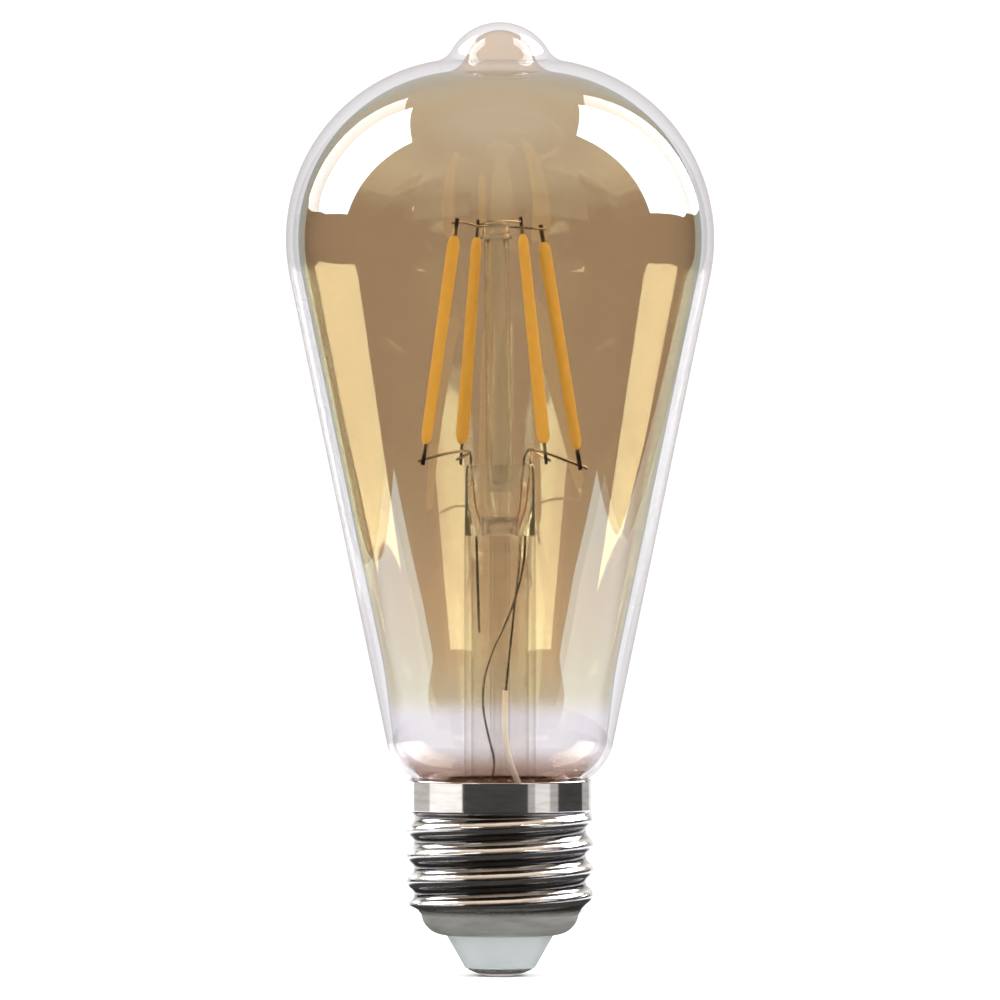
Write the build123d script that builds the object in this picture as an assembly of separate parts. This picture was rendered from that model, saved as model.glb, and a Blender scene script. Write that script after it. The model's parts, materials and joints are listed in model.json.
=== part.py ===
from build123d import *
import os
from math import cos, pi, radians, sin, sqrt, tan

# LED filament lamp: a pear-shaped gold-tinted glass bulb with a tip on an E27 Edison screw cap.
# Inside the bulb a glass stem carries four LED filaments in series, and the cap holds the driver
# with its radio module. Nothing in it moves: the glass is fused, the cap cemented and the wires
# welded. Millimetres, +Z along the lamp's axis from the centre contact to the tip.
# The origin is the middle of the centre contact's flat end face, and -Y is the front.

# ---- driving dimensions: glass bulb ----
LAMP_HEIGHT = 135.0
GLASS_WALL = 0.9
DOME_RADIUS = 25.6          # the dome is an arc turned about the axis, its centre off the axis
DOME_OFFSET = 4.7
DOME_Z = 104.3
CONE_ANGLE = 11.75          # half angle of the tapering body
TIP_RADIUS = 7.9
TIP_FILLET = 3.2
SHOULDER_RADIUS = 8.2
SHOULDER_Z = 33.2           # where the cone ends and the shoulder begins
NECK_RADIUS = 11.7
NECK_FILLET = 1.5
NECK_BOTTOM = 22.0

# ---- driving dimensions: E27 cap ----
THREAD_PITCH = 3.629
CREST_RADIUS = 13.17
ROOT_RADIUS = 12.15
CREST_Z = 11.5              # height of a thread crest on the +X side
SHELL_SHEET = 0.3
COLLAR_RADIUS = 12.93
COLLAR_TOP = 27.85
COLLAR_BOTTOM = 23.7
BAND_BOTTOM = 9.1           # the threaded band runs from here to the collar
LIP_RADIUS = 3.35           # rounded lower end of the shell
LIP_INNER = 7.75
LIP_BOTTOM = 5.85
LIP_TOP_RADIUS = 11.45
LIP_FLAT = 0.1              # level run at the lip's inner edge
LIP_SIDE_DROP = 0.35        # the lip's arc ends this far below its centre
INSULATOR_TOP_RADIUS = 7.55
INSULATOR_FOOT_RADIUS = 5.15
INSULATOR_FOOT_Z = 1.5
CONTACT_RADIUS = 4.55
CONTACT_DOME = 10.0         # radius of curvature of the contact
CONTACT_FLAT = 1.7          # radius of the flat in the middle of the contact
CONTACT_SEAT = 1.15
RIVET_RADIUS = 0.75

# ---- driving dimensions: stem ----
STEM_RADIUS = 5.05
STEM_WALL = 1.0
STEM_STEP = 0.03            # the press starts just inside the tube's wall
FLARE_TOP = 29.5            # the straight tube turns into the flare here
FLARE_RADIUS = 6.5
PRESS_START = 60.5
PRESS_TOP = 72.4
EXHAUST_RADIUS = 1.4
EXHAUST_BORE = 0.9
EXHAUST_TIP = 20.6
EXHAUST_TOP = 66.2
PORT_Z = 67.0
PORT_RADIUS = 0.95
PILLAR_RADIUS = 1.9
PILLAR_TOP_RADIUS = 1.75
PILLAR_BORE = 1.2
PILLAR_FOOT = 68.6
PILLAR_TOP = 104.3
BUTTON_RADIUS = 2.1
BUTTON_TOP_RADIUS = 1.6
BUTTON_TOP = 106.8
PILLAR_LEAN = -0.85         # degrees about Y at the pillar's foot

# ---- driving dimensions: filaments ----
FILAMENT_TOP = 104.6
FILAMENT_BOTTOM = 75.2
# They are welded by hand, so each stands a little differently: azimuth about the axis,
# distance of its upper and lower end from the axis, and how far it sits above its nominal height.
FILAMENTS = {
    "filament_1": (-151.0, 7.3, 12.0, 0.2),
    "filament_2": (117.0, 7.25, 11.9, 0.0),
    "filament_3": (-61.0, 6.5, 12.8, 0.4),
    "filament_4": (28.0, 6.95, 12.4, -0.7),
}
COAT_FOOT = (1.46, 2.04)    # phosphor coat along and square to the substrate's width
COAT_HEAD = (1.95, 1.34)
COAT_NOSE = 1.6             # length of the rounded ends
SUBSTRATE_WIDTH = 0.9
SUBSTRATE_THICK = 0.4
TAB_WIDTH = 0.55
TAB_THICK = 0.22
TOP_TAB = 2.5
BOTTOM_TAB = 3.0
TAB_OVERLAP = 1.2           # length of the tab that is bonded to the substrate
CHIP_COUNT = 26
CHIP = (0.3, 0.6, 0.12)     # across, along, and off the substrate

# ---- driving dimensions: wires ----
LEAD_RADIUS = 0.2
DUMET_RADIUS = 0.17
BRIDGE_RADIUS = 0.15
SLEEVE_RADIUS = 0.42
KNOT_RADIUS = 0.3
WELD_BACK = 0.7             # from the end of a tab to its weld
WIRE_PAST = 0.6             # a wire runs on past its weld by this
TOUCH = 0.01                # gap left between curved faces that only touch

# ---- driving dimensions: driver ----
BOARD_WIDTH = 20.6
BOARD_BOTTOM = 8.6
BOARD_TOP = 19.4
BOARD_THICK = 1.0
BOARD_Y = 0.6               # middle of the board's thickness
PARTS_Z = 15.6              # middle height of the two largest parts, in front of the board
CAN_RADIUS = 3.15
CAN_LENGTH = 9.0
CHOKE_RADIUS = 3.0
CHOKE_LENGTH = 6.0
CHOKE_POST = 1.6            # radius of the ferrite post inside the winding
WINDING_RADIUS = 2.7
WINDING_LENGTH = 4.2
RESISTOR_RADIUS = 1.2
RESISTOR_LENGTH = 4.2
RECTIFIER = (4.6, 1.5, 3.8)
CHIP_PACKAGE = (4.9, 1.5, 3.9)
RADIO_BOARD = (9.5, 0.8, 9.6)
RADIO_SHIELD = (7.0, 1.8, 5.6)
RADIO_LOW = (0.3, 9.2)      # lowest corner of the radio board, across and up
PIN = 0.6
PIN_LENGTH = 1.6            # gap between the two boards
PIN_PITCH = 1.6
PIN_COUNT = 5
TRACE_WIDTH = 0.4
TRACE_RISE = 2.2
TRACE_THICK = 0.05
TRACE_PITCH = 0.85
TRACE_RUNS = 9
TRACE_Z = 16.0
LIVE_RADIUS = 0.3
NEUTRAL_RADIUS = 0.25


def export(shape, name):
    """Writes one sub-part as parts/NAME.step."""
    shape.label = name
    export_step(shape, f"parts/{name}.step")


def revolved(edges):
    """Solid of revolution about Z of a closed outline drawn in the XZ plane."""
    return revolve(make_face(Wire(edges)), Axis.Z)


def at(radius, z):
    """A point of an outline, in the XZ plane."""
    return Vector(radius, 0, z)


def outline(*corners):
    """Closed outline of straight edges through (radius, z) corners."""
    points = [at(*c) for c in corners]
    return [Line(a, b) for a, b in zip(points, points[1:] + points[:1])]


def arc_between(centre, radius, start, end, outward=1):
    """Arc in the XZ plane about a centre, from start to end, by way of the side that faces outward."""
    a = Vector(start) - Vector(centre)
    b = Vector(end) - Vector(centre)
    middle = (a + b).normalized() * radius * outward
    return ThreePointArc(start, Vector(centre) + middle, end)


def rod(start, end, radius):
    """Straight round bar between two points."""
    axis = Vector(end) - Vector(start)
    return Plane(origin=start, z_dir=axis).location * extrude(Circle(radius), axis.length)


def wire_along(points, radius):
    """Round wire along straight runs joined by the largest tangent arcs that the runs allow."""
    points = [Vector(p) for p in points]
    if len(points) == 2:
        return rod(points[0], points[1], radius)
    radii = []
    for before, here, after in zip(points, points[1:], points[2:]):
        turn = radians((here - before).get_angle(after - here))
        shorter = min((here - before).length, (after - here).length)
        radii.append(0.45 * shorter / tan(turn / 2))
    path = FilletPolyline(*points, radius=radii)
    section = Plane(origin=path @ 0, z_dir=path % 0) * Circle(radius)
    return sweep(section, path=path.wire())


def oval_section(z, half_x, half_y, power=2.0):
    """Face in a level plane, bounded by a superellipse: an ellipse where power is 2."""
    count = 32
    points = []
    for i in range(count):
        turn = 2 * pi * i / count
        c, s = cos(turn), sin(turn)
        stretch = (abs(c) ** power + abs(s) ** power) ** (-1 / power)
        points.append(Vector(half_x * stretch * c, half_y * stretch * s, z))
    even = [i / count for i in range(count + 1)]
    return make_face(Edge.make_spline(points, periodic=True, parameters=even))


# ---- glass bulb ----
def envelope_edges(inset):
    """The bulb's profile from the tip down to the neck, moved inward from the outer face by inset."""
    angle = radians(CONE_ANGLE)
    tip = at(0, LAMP_HEIGHT - TIP_RADIUS)
    dome = at(DOME_OFFSET, DOME_Z)
    tip_r, dome_r = TIP_RADIUS - inset, DOME_RADIUS - inset
    fillet = circles_meet(tip, TIP_RADIUS + TIP_FILLET, dome, DOME_RADIUS + TIP_FILLET)
    to_fillet = tip + (fillet - tip).normalized() * tip_r
    to_dome = dome + (fillet - dome).normalized() * dome_r
    out = Vector(cos(angle), 0, -sin(angle))
    to_cone = dome + out * dome_r
    outer_cone = dome + out * DOME_RADIUS
    shoulder_r = outer_cone.X - (outer_cone.Z - SHOULDER_Z) * tan(angle)
    shoulder = at(shoulder_r, SHOULDER_Z) - out * SHOULDER_RADIUS
    to_shoulder = shoulder + out * (SHOULDER_RADIUS - inset)
    neck_x = NECK_RADIUS + NECK_FILLET
    reach = SHOULDER_RADIUS + NECK_FILLET
    neck = at(neck_x, shoulder.Z - sqrt(reach**2 - (neck_x - shoulder.X) ** 2))
    to_neck = shoulder + (neck - shoulder).normalized() * (SHOULDER_RADIUS - inset)
    neck_top = at(NECK_RADIUS - inset, neck.Z)
    neck_end = at(NECK_RADIUS - inset, NECK_BOTTOM)
    top = at(0, tip.Z + tip_r)
    return [
        arc_between(tip, tip_r, top, to_fillet),
        arc_between(fillet, TIP_FILLET + inset, to_fillet, to_dome),
        arc_between(dome, dome_r, to_dome, to_cone),
        Line(to_cone, to_shoulder),
        arc_between(shoulder, SHOULDER_RADIUS - inset, to_shoulder, to_neck),
        arc_between(neck, NECK_FILLET + inset, to_neck, neck_top),
        Line(neck_top, neck_end),
    ]


def circles_meet(a, radius_a, b, radius_b):
    """The outer crossing of two circles in the XZ plane."""
    gap = (b - a).length
    along = (radius_a**2 - radius_b**2 + gap**2) / (2 * gap)
    across = sqrt(radius_a**2 - along**2)
    ahead = (b - a).normalized()
    side = Vector(-ahead.Z, 0, ahead.X)
    return a + ahead * along + side * across


def make_envelope():
    outer = envelope_edges(0)
    inner = envelope_edges(GLASS_WALL)
    foot = Line(at(NECK_RADIUS, NECK_BOTTOM), at(NECK_RADIUS - GLASS_WALL, NECK_BOTTOM))
    crown = Line(at(0, LAMP_HEIGHT - GLASS_WALL), at(0, LAMP_HEIGHT))
    return revolved(outer + [foot] + inner + [crown])


# ---- stem ----
def make_stem():
    """Flare tube whose upper end is pressed flat round the wires."""
    bore = STEM_RADIUS - STEM_WALL
    rim = NECK_RADIUS - GLASS_WALL
    centre = at(STEM_RADIUS + FLARE_RADIUS, FLARE_TOP)
    reach = centre.X - rim
    upper_rim = at(rim, FLARE_TOP - sqrt(FLARE_RADIUS**2 - reach**2))
    lower_rim = at(rim, FLARE_TOP - sqrt((FLARE_RADIUS + STEM_WALL) ** 2 - reach**2))
    tube = revolved(
        [
            Line(at(bore, FLARE_TOP), at(bore, PRESS_START)),
            Line(at(bore, PRESS_START), at(STEM_RADIUS, PRESS_START)),
            Line(at(STEM_RADIUS, PRESS_START), at(STEM_RADIUS, FLARE_TOP)),
            arc_between(centre, FLARE_RADIUS, at(STEM_RADIUS, FLARE_TOP), upper_rim),
            Line(upper_rim, lower_rim),
            arc_between(centre, FLARE_RADIUS + STEM_WALL, lower_rim, at(bore, FLARE_TOP)),
        ]
    )
    outside = loft(
        [
            oval_section(PRESS_START, STEM_RADIUS - STEM_STEP, STEM_RADIUS - STEM_STEP),
            oval_section(PRESS_START + 1.3, STEM_RADIUS, STEM_RADIUS - 0.1),
            oval_section(PRESS_START + 4.0, STEM_RADIUS - 0.05, 3.4, 2.2),
            oval_section(PRESS_START + 6.5, STEM_RADIUS - 0.1, 1.9, 2.6),
            oval_section(PRESS_TOP - 1.5, STEM_RADIUS - 0.15, 1.6, 3.0),
            oval_section(PRESS_TOP, STEM_RADIUS - 0.35, 1.45, 3.0),
        ]
    )
    inside = loft(
        [
            oval_section(PRESS_START, bore + STEM_STEP, bore + STEM_STEP),
            oval_section(PRESS_START + 1.3, bore - 0.05, bore - 0.15),
            oval_section(PRESS_START + 3.6, bore - 0.25, 2.3),
            oval_section(PRESS_START + 5.4, bore - 0.9, 0.9),
        ]
    )
    return tube + (outside - inside)


def make_exhaust_tube():
    """Thin tube down the middle of the stem, sealed off at its lower end."""
    wall = EXHAUST_RADIUS - EXHAUST_BORE
    nose = at(0, EXHAUST_TIP + EXHAUST_RADIUS)
    inner_end = at(0, nose.Z - EXHAUST_BORE)
    return revolved(
        [
            arc_between(nose, EXHAUST_RADIUS, at(0, EXHAUST_TIP), at(EXHAUST_RADIUS, nose.Z)),
            Line(at(EXHAUST_RADIUS, nose.Z), at(EXHAUST_RADIUS, EXHAUST_TOP)),
            Line(at(EXHAUST_RADIUS, EXHAUST_TOP), at(EXHAUST_RADIUS - wall, EXHAUST_TOP)),
            Line(at(EXHAUST_BORE, EXHAUST_TOP), at(EXHAUST_BORE, nose.Z)),
            arc_between(nose, EXHAUST_BORE, at(EXHAUST_BORE, nose.Z), inner_end),
            Line(inner_end, at(0, EXHAUST_TIP)),
        ]
    )


def leaned(shape):
    """Tilts a part of the pillar, drawn upright, about the pillar's foot."""
    foot = Pos(0, 0, PILLAR_FOOT)
    return foot * Rot(0, PILLAR_LEAN, 0) * Pos(0, 0, -PILLAR_FOOT) * shape


def make_pillar():
    """Hollow glass pillar above the press, closed at its foot."""
    bore_foot = PILLAR_FOOT + 1.0
    return revolved(
        outline(
            (0, PILLAR_FOOT),
            (PILLAR_RADIUS, PILLAR_FOOT),
            (PILLAR_RADIUS, PRESS_TOP + 6),
            (PILLAR_TOP_RADIUS, PILLAR_TOP),
            (PILLAR_BORE, PILLAR_TOP),
            (PILLAR_BORE, bore_foot + 0.6),
            (0, bore_foot),
        )
    )


def make_button():
    """Glass button that closes the pillar and holds the bridge wires."""
    lip = 0.25
    body = revolved(
        outline(
            (0, PILLAR_TOP),
            (BUTTON_RADIUS, PILLAR_TOP),
            (BUTTON_RADIUS, PILLAR_TOP + 0.5),
            (BUTTON_RADIUS - 0.12, PILLAR_TOP + 0.7),
            (BUTTON_TOP_RADIUS + lip, BUTTON_TOP - lip * 2),
            (BUTTON_TOP_RADIUS - lip, BUTTON_TOP),
            (0, BUTTON_TOP),
        )
    )
    lip_ring = Pos(0, 0, PILLAR_TOP + lip) * Torus(BUTTON_RADIUS - 0.05, lip - 0.01)
    return body + lip_ring


# ---- filaments ----
class FilamentPlace:
    """Where one filament stands: its ends, its direction and the planes it is welded in."""

    def __init__(self, azimuth, top_radius, bottom_radius, lift):
        turn = radians(azimuth)
        self.radial = Vector(cos(turn), sin(turn), 0)
        self.tangent = Vector(-sin(turn), cos(turn), 0)
        self.bottom = self.radial * bottom_radius + Vector(0, 0, FILAMENT_BOTTOM + lift)
        self.top = self.radial * top_radius + Vector(0, 0, FILAMENT_TOP + lift)
        self.up = (self.top - self.bottom).normalized()
        self.length = (self.top - self.bottom).length
        self.plane = Plane(origin=self.bottom, x_dir=self.tangent.cross(self.up), z_dir=self.up)

    def place(self, shape):
        """Moves a shape drawn along Z from the filament's lower end into place."""
        return self.plane.location * shape

    def weld(self, end, wire_radius, side=1):
        """Centre of a wire where it lies against the flat of an end tab."""
        if end == "bottom":
            on_axis = self.bottom - self.up * (BOTTOM_TAB - WELD_BACK)
        else:
            on_axis = self.top + self.up * (TOP_TAB - WELD_BACK)
        return on_axis + self.tangent * side * (TAB_THICK / 2 + wire_radius + TOUCH)


def make_coat(length):
    """Phosphor coat, drawn along Z: its oval section turns from deep to wide on the way up."""
    steps = [0, 0.05, 0.14, 0.28, 0.45, 0.7, 1]
    stations = [COAT_NOSE * k for k in steps]
    stations += [length * k for k in (0.2, 0.35, 0.5, 0.65, 0.8)]
    stations += [length - COAT_NOSE * k for k in reversed(steps)]
    sections = []
    for z in stations:
        inward = min(z, length - z, COAT_NOSE) / COAT_NOSE
        full = sqrt(1 - 0.86 * (1 - inward) ** 2)
        share = z / length
        across, deep = (a + (b - a) * share for a, b in zip(COAT_FOOT, COAT_HEAD))
        sections.append(oval_section(z, across / 2 * full, deep / 2 * full))
    return loft(sections, ruled=True)


def make_filament(place):
    """One filament as its separate pieces: (phosphor, substrate, chips, tabs)."""
    length = place.length
    coat = make_coat(length)
    margin = 0.4
    strip_length = length - 2 * margin
    strip = Pos(0, 0, length / 2) * Box(SUBSTRATE_WIDTH, SUBSTRATE_THICK, strip_length)
    tabs = []
    for start, stop in ((-BOTTOM_TAB, TAB_OVERLAP), (length - TAB_OVERLAP, length + TOP_TAB)):
        tab = Pos(0, 0, (start + stop) / 2) * Box(TAB_WIDTH, TAB_THICK, stop - start)
        tabs.append(tab)
        strip = strip - tab
    across, along, off = CHIP
    first = TAB_OVERLAP + 1.2
    step = (length - 2 * first) / (CHIP_COUNT - 1)
    chips = []
    for i in range(CHIP_COUNT):
        chip = Box(across, off, along)
        chips.append(Pos(0, SUBSTRATE_THICK / 2 + off / 2, first + i * step) * chip)
    coat = coat - [strip, *tabs, *chips]
    return (
        place.place(coat),
        place.place(strip),
        place.place(Compound(children=chips)),
        place.place(Compound(children=tabs)),
    )


# ---- cap ----
def thread_radius(turn, z):
    """Outer radius of the rolled Edison thread at an angle in radians, faded out at both ends."""
    half = THREAD_PITCH / 2
    depth = CREST_RADIUS - ROOT_RADIUS
    curve = (half**2 / 4 + depth**2 / 4) / depth
    u = (z - CREST_Z - THREAD_PITCH * turn / (2 * pi) + half) % THREAD_PITCH - half
    if abs(u) <= half / 2:
        wave = CREST_RADIUS - (curve - sqrt(curve**2 - u**2))
    else:
        wave = ROOT_RADIUS + (curve - sqrt(curve**2 - (half - abs(u)) ** 2))
    low = ease((z - BAND_BOTTOM) / 1.3)
    high = ease((z - COLLAR_BOTTOM + 1.0) / 0.9)
    return (LIP_TOP_RADIUS * (1 - low) + wave * low) * (1 - high) + COLLAR_RADIUS * high


def ease(share):
    """Smooth step from 0 to 1."""
    share = min(1.0, max(0.0, share))
    return share * share * (3 - 2 * share)


def band_section(turn):
    """Section of the threaded band's wall in the half-plane at an angle in radians."""
    tuck = 0.03             # the band ends just inside the faces that it is joined to
    count = 56
    low, high = BAND_BOTTOM - 0.2, COLLAR_BOTTOM + 0.2
    rows = [low + (high - low) * i / (count - 1) for i in range(count)]
    ahead = Vector(cos(turn), sin(turn), 0)
    outer = [ahead * (thread_radius(turn, z) - tuck) + Vector(0, 0, z) for z in rows]
    inner_gap = SHELL_SHEET - 2 * tuck
    inner = [p - ahead * inner_gap for p in outer]
    even = [i / (count - 1) for i in range(count)]
    wall = [
        Edge.make_spline(outer, parameters=even),
        Line(outer[-1], inner[-1]),
        Edge.make_spline(inner[::-1], parameters=even),
        Line(inner[0], outer[0]),
    ]
    return make_face(Wire(wall))


def make_cap_shell():
    """Rolled E27 shell: rounded lower lip, threaded band and plain collar."""
    halves = []
    steps = 12
    for first in (0, steps):
        turns = [pi * (first + i) / steps for i in range(steps + 1)]
        halves.append(loft([band_section(t) for t in turns]))
    band = halves[0] + halves[1]
    collar = revolved(
        outline(
            (COLLAR_RADIUS, COLLAR_BOTTOM),
            (COLLAR_RADIUS, COLLAR_TOP),
            (COLLAR_RADIUS - SHELL_SHEET, COLLAR_TOP),
            (COLLAR_RADIUS - SHELL_SHEET, COLLAR_BOTTOM),
        )
    )
    return band + collar + make_lip()


def make_lip():
    """Rounded lower end of the shell, rolled in under the insulator."""
    outer_top = at(LIP_TOP_RADIUS, BAND_BOTTOM)
    centre = at(LIP_INNER + LIP_FLAT, LIP_BOTTOM + LIP_RADIUS)
    low = at(centre.X, LIP_BOTTOM)
    side = at(centre.X + LIP_RADIUS, centre.Z - LIP_SIDE_DROP)
    sheet = SHELL_SHEET
    inner_side = side - Vector(sheet, 0, 0)
    inner_low = low + Vector(0, 0, sheet)
    bend = Vector(sin(pi / 4), 0, -cos(pi / 4))
    return revolved(
        [
            Line(at(LIP_INNER, LIP_BOTTOM), low),
            ThreePointArc(low, centre + bend * LIP_RADIUS, side),
            Line(side, outer_top),
            Line(outer_top, outer_top - Vector(sheet, 0, 0)),
            Line(outer_top - Vector(sheet, 0, 0), inner_side),
            ThreePointArc(inner_side, centre + bend * (LIP_RADIUS - sheet), inner_low),
            Line(inner_low, at(LIP_INNER, LIP_BOTTOM + sheet)),
            Line(at(LIP_INNER, LIP_BOTTOM + sheet), at(LIP_INNER, LIP_BOTTOM)),
        ]
    )


def make_insulator():
    """Insulating plug between the shell and the centre contact, with a flange inside the lip."""
    ledge = LIP_BOTTOM + SHELL_SHEET
    waist = LIP_INNER - 0.05
    return revolved(
        outline(
            (RIVET_RADIUS, CONTACT_SEAT),
            (INSULATOR_FOOT_RADIUS - 0.2, CONTACT_SEAT),
            (INSULATOR_FOOT_RADIUS, INSULATOR_FOOT_Z),
            (INSULATOR_TOP_RADIUS, LIP_BOTTOM - 0.1),
            (waist, LIP_BOTTOM - 0.1),
            (waist, ledge),
            (waist + 0.6, ledge + 0.05),
            (waist + 0.6, ledge + 1.0),
            (waist - 1.2, ledge + 1.5),
            (RIVET_RADIUS, ledge + 1.5),
        )
    )


def make_contact():
    """Centre contact: a shallow domed plate under the insulator, flat in the middle."""
    flat_rise = CONTACT_DOME - sqrt(CONTACT_DOME**2 - CONTACT_FLAT**2)
    centre = at(0, CONTACT_DOME - flat_rise)
    flat_edge = at(CONTACT_FLAT, 0)
    rim = at(CONTACT_RADIUS, centre.Z - sqrt(CONTACT_DOME**2 - CONTACT_RADIUS**2))
    seat = at(CONTACT_RADIUS, CONTACT_SEAT)
    return revolved(
        [
            Line(at(0, 0), flat_edge),
            arc_between(centre, CONTACT_DOME, flat_edge, rim),
            Line(rim, seat),
            Line(seat, at(0, CONTACT_SEAT)),
            Line(at(0, CONTACT_SEAT), at(0, 0)),
        ]
    )


def make_rivet():
    """Pin that carries the live wire through the insulator to the contact."""
    head = 1.35
    top = LIP_BOTTOM + SHELL_SHEET + 1.5
    return revolved(
        outline(
            (0, CONTACT_SEAT),
            (RIVET_RADIUS, CONTACT_SEAT),
            (RIVET_RADIUS, top),
            (head, top),
            (head - 0.35, top + 0.4),
            (0, top + 0.4),
        )
    )


def make_cement(glass):
    """Basing cement between the neck and the collar."""
    outer = COLLAR_RADIUS - SHELL_SHEET
    ring = revolved(
        outline(
            (NECK_RADIUS - 0.4, COLLAR_BOTTOM + 0.3),
            (outer, COLLAR_BOTTOM + 0.3),
            (outer, COLLAR_TOP - 0.45),
            (NECK_RADIUS - 0.4, COLLAR_TOP - 0.45),
        )
    )
    return ring - glass


# ---- wires ----
def make_wires(places):
    """Every wire of the mount, by node name."""
    one, two, three, four = (places[n] for n in FILAMENTS)
    button_z = BUTTON_TOP - 0.75
    nodes = {}
    nodes["bridge_wire_1_4"] = bridge(one, four, button_z, button_z)
    nodes["bridge_wire_2_3"] = bridge(two, three, BUTTON_TOP + BRIDGE_RADIUS - 0.1, button_z + 1.0)

    link = one.weld("bottom", LEAD_RADIUS, -1)
    nodes["series_link_wire"] = wire_along(
        [
            (-4.0, 0, 69.7),
            (-4.4, 0, 71.6),
            (-4.0, 0, 73.1),
            (-4.3, -0.2, 74.45),
            link - one.radial * 4.0 + Vector(0, 0, 1.0),
            link + one.radial * WIRE_PAST - Vector(0, 0, 0.15),
        ],
        LEAD_RADIUS,
    )
    branch = two.weld("bottom", LEAD_RADIUS)
    nodes["series_branch_wire"] = wire_along(
        [
            (-4.1, 2 * LEAD_RADIUS + TOUCH, PRESS_TOP + 0.3),
            (-4.1, 2 * LEAD_RADIUS + 0.1, 74.1),
            branch - two.radial * 3.0 + Vector(0, 0, 0.9),
            branch + two.radial * WIRE_PAST,
        ],
        LEAD_RADIUS,
    )
    lead_a = three.weld("bottom", LEAD_RADIUS)
    nodes["supply_lead_a"] = wire_along(
        [
            (3.2, 0, 70.2),
            (3.45, 0, 72.0),
            (3.35, -0.1, 73.4),
            (4.0, -0.9, 74.6),
            lead_a - three.radial * 3.6 + Vector(0, 0, 1.1),
            lead_a + three.radial * WIRE_PAST - Vector(0, 0, 0.2),
        ],
        LEAD_RADIUS,
    )
    lead_b = four.weld("bottom", LEAD_RADIUS)
    nodes["supply_lead_b"] = wire_along(
        [
            (4.4, 0, 70.6),
            (4.7, 0, 71.8),
            (4.2, 0.3, 73.2),
            (4.5, 1.2, 74.5),
            lead_b - four.radial * 6.2 + Vector(0, 0, 2.1),
            lead_b + four.radial * (WIRE_PAST + 0.8) - Vector(0, 0, 0.48),
        ],
        LEAD_RADIUS,
    )
    nodes["dumet_wire_link"] = rod((-4.0, 0, 69.7), (-3.35, 0, 62.5), DUMET_RADIUS)
    nodes["dumet_wire_a"] = rod((3.2, 0, 70.2), (2.9, 0, 62.5), DUMET_RADIUS)
    nodes["dumet_wire_b"] = rod((4.4, 0, 70.6), (3.6, 0, 62.5), DUMET_RADIUS)
    nodes["link_wire_stub"] = rod((-3.35, 0, 62.5), (-2.95, 0, 48.6), LEAD_RADIUS)
    nodes["driver_lead_a"] = wire_along(LEAD_A_ROUTE, DUMET_RADIUS)
    nodes["driver_lead_b"] = wire_along(LEAD_B_ROUTE, DUMET_RADIUS)
    return nodes


def bridge(first, second, middle_z, end_z):
    """Wire across the button that joins the tops of two opposite filaments."""
    a = first.weld("top", BRIDGE_RADIUS, -1)
    b = second.weld("top", BRIDGE_RADIUS, -1)
    rise = middle_z - end_z
    start = a + first.radial * WIRE_PAST
    stop = b + second.radial * WIRE_PAST
    centre = Vector((BUTTON_TOP - PILLAR_FOOT) * sin(radians(PILLAR_LEAN)), 0, middle_z)
    near_a = centre + first.radial * 2.6 - first.tangent * 0.1
    near_b = centre + second.radial * 2.6 - second.tangent * 0.1
    bent_a = a - first.radial * 1.2 + Vector(0, 0, 0.15 + rise / 4)
    bent_b = b - second.radial * 1.2 + Vector(0, 0, 0.15 + rise / 4)
    return wire_along([start, bent_a, near_a, near_b, bent_b, stop], BRIDGE_RADIUS)


# The two leads that run down inside the stem, in front of and behind the exhaust tube.
LEAD_A_ROUTE = [
    (2.9, 0, 62.5),
    (2.8, -0.9, 59.0),
    (2.1, -1.9, 53.0),
    (1.5, -2.2, 47.0),
    (0.8, -2.4, 40.5),
    (0.6, -2.4, 35.0),
    (1.3, -2.5, 30.5),
    (3.0, -2.7, 26.5),
    (4.2, -1.6, 22.5),
    (4.4, BOARD_Y - 0.9, BOARD_TOP - 0.6),
]
LEAD_B_ROUTE = [
    (3.6, 0, 62.5),
    (3.5, 0.8, 59.0),
    (2.6, 1.8, 54.5),
    (0.9, 2.5, 50.0),
    (-1.1, 2.5, 46.0),
    (-2.3, 2.0, 42.0),
    (-2.5, 1.8, 38.0),
    (-1.7, 2.2, 34.0),
    (-0.6, 2.6, 30.0),
    (-1.6, 2.8, 26.0),
    (-3.6, 2.4, 22.6),
    (-4.4, BOARD_Y + 0.9, BOARD_TOP - 0.6),
]


def make_knots():
    """Weld knots where nickel leads meet the dumet wires."""
    places = [(-4.0, 0, 69.7), (3.2, 0, 70.2), (4.4, 0, 70.6)]
    return Compound(children=[Pos(*p) * Sphere(KNOT_RADIUS) for p in places])


# ---- driver in the cap ----
def box_at(size, low):
    """Box of a size with its lowest corner at a point."""
    return Pos(*(c + s / 2 for c, s in zip(low, size))) * Box(*size)


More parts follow.
